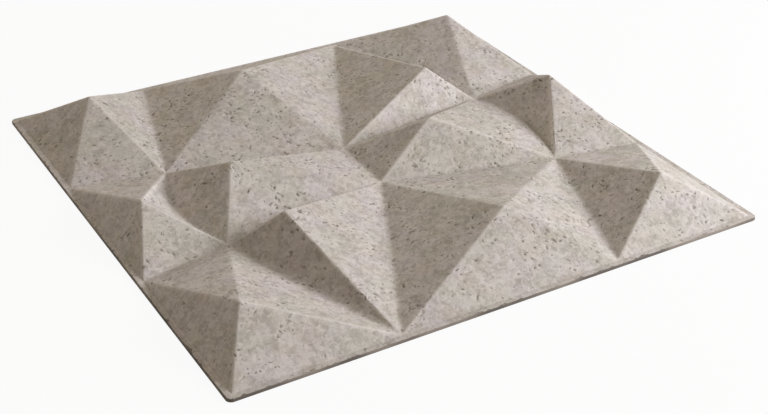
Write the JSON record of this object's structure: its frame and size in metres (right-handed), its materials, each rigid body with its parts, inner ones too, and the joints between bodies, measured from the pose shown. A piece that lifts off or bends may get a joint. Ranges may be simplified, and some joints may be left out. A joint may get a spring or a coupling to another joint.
{
  "type": "3d wall panel tile",
  "caption": "Square moulded wall panel with a flat back, a thin rim and a faceted relief of slanting pyramids, in a pitted grey stone look.",
  "frame": {"origin": "centre of the flat back, on the plane that the panel lies on or is glued to", "axes": "+Z out of the relief's side, +X and +Y along the panel's sides"},
  "size_m": [0.5, 0.5, 0.037],
  "materials": {
    "stone_face": "matte, stone-look print with small pits"
  },
  "bodies": {
    "root": {"facet_panel": "stone_face"}
  },
  "joints": []
}
